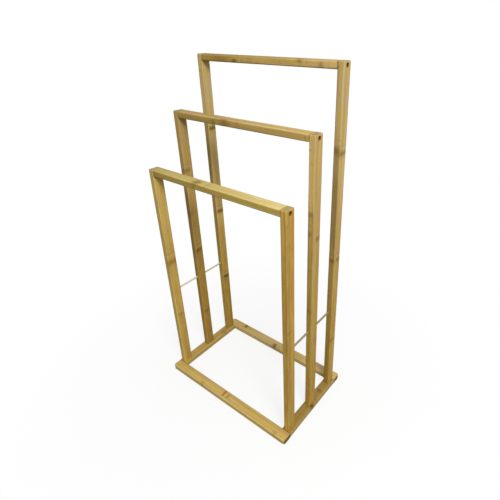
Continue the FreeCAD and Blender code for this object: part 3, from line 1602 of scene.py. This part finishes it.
@dataclass
class Studio:
    """The pale floor, the soft light and the camera of the photograph.

    The floor and the sky are white where they are seen, and dimmer where they only light. Near
    the stand the floor glows less, so that the soft shadow shows.
    """

    floor_radius: float = 14.0
    floor_sides: int = 96
    floor_seen: Colour = (0.965, 0.965, 0.962)
    floor_lighting: Colour = (0.27, 0.265, 0.25)
    floor_glow: float = 0.80
    glow_from: float = 0.10
    glow_full: float = 0.75
    sky_strength: float = 0.52
    lamp: Lamp = Lamp((1.15, -0.68, 1.75), (0.0, 0.0, 0.45), 0.62, 24.0)

    camera_place: tuple[float, float, float] = (0.56953, -0.58621, 0.87889)
    camera_pitch: float = 0.47109
    camera_roll: float = -0.00180
    camera_turn: float = 0.63432
    focal_pixels: float = 392.4246
    centre_column: float = 293.6506
    centre_row: float = 226.3785
    picture_pixels: float = 500.0
    sensor: float = 36.0
    clip: tuple[float, float] = (0.01, 100.0)

    def build_camera(self) -> None:
        """Makes the camera at the photograph's viewpoint."""
        data = bpy.data.cameras.new("view")
        camera = link("view", data)
        right, forward, up = (Matrix.Rotation(self.camera_roll, 3, "Y")
                              @ Matrix.Rotation(self.camera_pitch, 3, "X")
                              @ Matrix.Rotation(-self.camera_turn, 3, "Z"))
        turn = Matrix((right, up, -forward)).transposed().to_4x4()
        camera.matrix_world = Matrix.Translation(self.camera_place) @ turn
        data.sensor_width = self.sensor
        data.sensor_fit = "HORIZONTAL"
        data.lens = self.focal_pixels / self.picture_pixels * self.sensor
        middle = (self.picture_pixels - 1) / 2
        data.shift_x = (middle - self.centre_column) / self.picture_pixels
        data.shift_y = (self.centre_row - middle) / self.picture_pixels
        data.clip_start, data.clip_end = self.clip
        bpy.context.scene.camera = camera

    def seen_directly(self, bench: NodeBench) -> Wire:
        """Tells the rays from the camera, or by way of a mirror-like or clear surface.

        Args:
            bench: Where the nodes go.

        Returns:
            The mask.
        """
        rays = bench.add("LightPath").outputs
        camera, glossy, clear = (Wire(bench, rays[name]) for name in (
            "Is Camera Ray", "Is Glossy Ray", "Is Transmission Ray"))
        return bench.maths("MAXIMUM", bench.maths("MAXIMUM", camera, glossy), clear)

    def build_floor(self) -> None:
        """Makes the floor, a wide disc."""
        shape = bmesh.new()
        bmesh.ops.create_circle(shape, cap_ends=True, segments=self.floor_sides,
                                radius=self.floor_radius)
        mesh = bpy.data.meshes.new("floor")
        shape.to_mesh(mesh)
        shape.free()
        floor = link("floor", mesh)
        bench = MaterialBench("pale_floor")
        seen = self.seen_directly(bench)
        matt = bench.out("BsdfDiffuse", {
            "Color": bench.blend(seen, self.floor_lighting, self.floor_seen)})
        glow = bench.out("Emission", {"Color": WHITE, "Strength": 1.0})
        away = bench.measure("LENGTH", bench.position)
        share = seen * away.spread(self.glow_from, self.glow_full, self.floor_glow, 1.0)
        mesh.materials.append(bench.finish(bench.out("MixShader", {0: share, 1: matt, 2: glow})))

    def build_sky(self) -> None:
        """Makes the even sky."""
        world = bpy.data.worlds.new("studio")
        bpy.context.scene.world = world
        world.use_nodes = True
        world.node_tree.nodes.clear()
        bench = NodeBench(world.node_tree)
        strength = self.seen_directly(bench) * (1.0 - self.sky_strength) + self.sky_strength
        sky = bench.out("Background", {"Color": WHITE, "Strength": strength})
        bench.add("OutputWorld", {"Surface": sky})

    def build(self) -> None:
        """Makes the whole studio."""
        self.build_floor()
        self.build_sky()
        self.lamp.build()
        self.build_camera()
        bpy.context.scene.view_settings.view_transform = "Standard"


# ---------------------------------------------------------------- the stand
# Marks and steps are placed in metres: on an upright by the height above the floor, and on the
# other laths from the middle.
FRONT_FACE = 12.5 * MM
# The narrow-face factors and steps paint light and shade onto the narrow faces, and the gains paint
# light along a lath; both are partly the laths' own tone.
FINISHES = {
    "base_front_rail": BambooFinish(
        1.0, 1.10, 1.10, warmth=0.45, bleach=(0.40, 0.35), painted_shade_arris=0.25,
        cut=(0.215, 0.130, 0.018), knuckles=(
            Knuckle(-0.011, 0.0, 0.011, 0.7, length=6.0 * MM),
            Knuckle(0.004, -0.001, 0.009, 0.55, length=5.0 * MM),
            Knuckle(-0.083, -0.011, 0.009, 0.3),
            Knuckle(0.168, -0.011, 0.009, 0.25))),
    "base_rear_rail": BambooFinish(
        2.0, 1.12, 1.16, warmth=0.35, bleach=(0.60, 0.70), painted_shade_arris=0.25,
        cut=(0.230, 0.145, 0.030), knuckles=(
            Knuckle(-0.140, 0.008, 0.013, 0.8),
            Knuckle(-0.013, -0.010, 0.012, 0.8))),
    "base_left_rail": BambooFinish(
        3.0, 1.03, bleach=(0.30, 0.30), painted_shade_arris=0.25, knuckles=(
            Knuckle(0.055, -0.008, 0.010, 0.3),)),
    "base_right_rail": BambooFinish(
        4.0, 0.67, 1.39, bleach=(0.20, 0.25), painted_shade_arris=0.25, knuckles=(
            Knuckle(-0.006, -0.012, 0.014, 0.75, length=14.0 * MM),
            Knuckle(0.045, 0.0, 0.010, 0.4))),
    "front_left_upright": BambooFinish(
        5.0, 1.07, gain=-0.10, split=0.2, bleach=(0.10, 0.30), painted_shade_arris=0.7,
        narrow_tone_and_shade_steps=((0.525, 1.12),), knuckles=(
            Knuckle(0.349, 0.002, 0.015, 0.5, -0.04, length=18.0 * MM),
            Knuckle(0.182, -0.003, 0.016, 0.3, 0.14))),
    "front_right_upright": BambooFinish(
        6.0, 0.97, 1.18, gain=0.04, warmth=0.68, split=0.25, bleach=(0.0, 0.10),
        painted_shade_arris=0.45, painted_highlight_arris=0.15,
        narrow_tone_and_shade_steps=((0.085, 0.88), (0.265, 0.90), (0.505, 1.13)), knuckles=(
            Knuckle(0.318, 0.004, 0.010, 0.2),)),
    "front_bar": BambooFinish(
        7.0, 1.13, 0.81, gain=0.3, warmth=0.08, bleach=(0.35, 0.70), edge_bleach=0.35,
        painted_shade_arris=0.6, pale=(0.630, 0.515, 0.235), knuckles=(
            Knuckle(-0.043, -0.004, 0.012, 0.6, length=22.0 * MM),
            Knuckle(-0.047, -0.011, 0.007, 0.4, through=0.0))),
    "middle_left_upright": BambooFinish(
        8.0, 0.83, 0.93, warmth=0.72, bleach=(-0.10, 0.45), painted_shade_arris=0.85, painted_highlight_arris=0.3,
        cut=(0.310, 0.210, 0.055),
        narrow_tone_and_shade_steps=((0.11, 0.85), (0.33, 0.88), (0.525, 1.38), (0.62, 1.09)), knuckles=(
            Knuckle(0.568, 0.006, 0.013, 0.4),
            Knuckle(0.455, 0.008, 0.018, 0.2, -0.04),
            Knuckle(0.344, 0.001, 0.013, 0.7, 0.14),
            Knuckle(0.138, 0.0, 0.013, 0.35))),
    "middle_right_upright": BambooFinish(
        9.0, 1.05, 0.96, gain=0.04, warmth=0.60, split=0.20, bleach=(-0.05, 0.50),
        painted_shade_arris=0.45, painted_highlight_arris=0.0, cut=(0.350, 0.250, 0.085),
        narrow_tone_and_shade_steps=((0.27, 0.88), (0.47, 1.12), (0.56, 1.29)), knuckles=(
            Knuckle(0.497, -0.005, 0.012, 0.5),
            Knuckle(0.553, FRONT_FACE, 0.009, 0.4, through=-0.002),
            Knuckle(0.512, FRONT_FACE, 0.008, 0.4, through=-0.004),
            Knuckle(0.318, FRONT_FACE, 0.008, 0.25, through=0.0),
            Knuckle(0.090, FRONT_FACE, 0.008, 0.2, through=0.0))),
    "middle_bar": BambooFinish(
        10.0, 0.91, 0.89, gain=0.25, bleach=(0.25, 0.45), painted_shade_arris=0.5, knuckles=(
            Knuckle(-0.032, -0.012, 0.010, 0.4, through=0.001, length=26.0 * MM),
            Knuckle(-0.064, -0.012, 0.007, 0.4, through=-0.003))),
    "rear_left_upright": BambooFinish(
        11.0, 0.97, 1.07, bleach=(-0.10, 0.70), painted_shade_arris=0.85, painted_highlight_arris=0.3,
        narrow_tone_and_shade_steps=((0.228, 0.79), (0.37, 0.90), (0.52, 0.80), (0.61, 1.18), (0.675, 1.46)),
        knuckles=(
            Knuckle(0.654, -0.003, 0.016, 0.95, 0.14),
            Knuckle(0.427, -0.003, 0.017, 0.95, -0.16),
            Knuckle(0.212, -0.002, 0.016, 0.95, 0.12))),
    "rear_right_upright": BambooFinish(
        12.0, 1.04, 0.70, gain=-0.02, warmth=0.56, split=0.4, bleach=(-0.05, 0.65),
        painted_shade_arris=0.5, painted_highlight_arris=0.0,
        narrow_tone_and_shade_steps=((0.44, 0.87), (0.60, 1.17), (0.665, 1.30)), knuckles=(
            Knuckle(0.654, 0.0, 0.017, 0.6, -0.08),
            Knuckle(0.405, -0.005, 0.012, 0.6),
            Knuckle(0.168, 0.0, 0.015, 0.45),
            Knuckle(0.660, FRONT_FACE, 0.010, 0.5, through=0.0, length=14.0 * MM),
            Knuckle(0.405, FRONT_FACE, 0.009, 0.5, through=0.0))),
    "rear_bar": BambooFinish(
        13.0, 0.66, 1.55, gain=0.3, bleach=(0.25, 0.50), painted_shade_arris=0.5, painted_highlight_arris=0.1,
        knuckles=(
            Knuckle(-0.0785, -0.012, 0.007, 0.8, through=-0.005, length=16.0 * MM),
            Knuckle(-0.120, -0.012, 0.010, 0.35, through=-0.003, length=60.0 * MM),
            Knuckle(0.095, -0.011, 0.008, 0.5, through=0.006),
            Knuckle(0.145, -0.012, 0.008, 0.4, through=-0.002))),
}
RODS = {
    "left_spacer_rod": (20.0, RodFinish()),
    # The right rod is the same cream dowel; its darker colours are painted shade.
    "right_spacer_rod": (21.0, RodFinish((0.350, 0.290, 0.140), (0.250, 0.190, 0.080))),
}


def main() -> None:
    """Builds the stand and the studio round it."""
    logging.basicConfig(level=logging.INFO, format="%(name)s %(message)s")
    kit = Kit(BambooEffects.build(), BoredFinish().material(), SteelFinish().material())
    pieces = BaseFrame(FINISHES).build(kit)
    for tier in TIERS:
        pieces += TierFrame(tier, FINISHES).build(kit)
    pieces += [Rod(node, seed).build(finish.material())
               for node, (seed, finish) in RODS.items()]
    for piece in pieces:
        log.info("%s: %d faces", piece.name, len(piece.data.polygons))
    Studio().build()


if __name__ == "__main__":
    main()
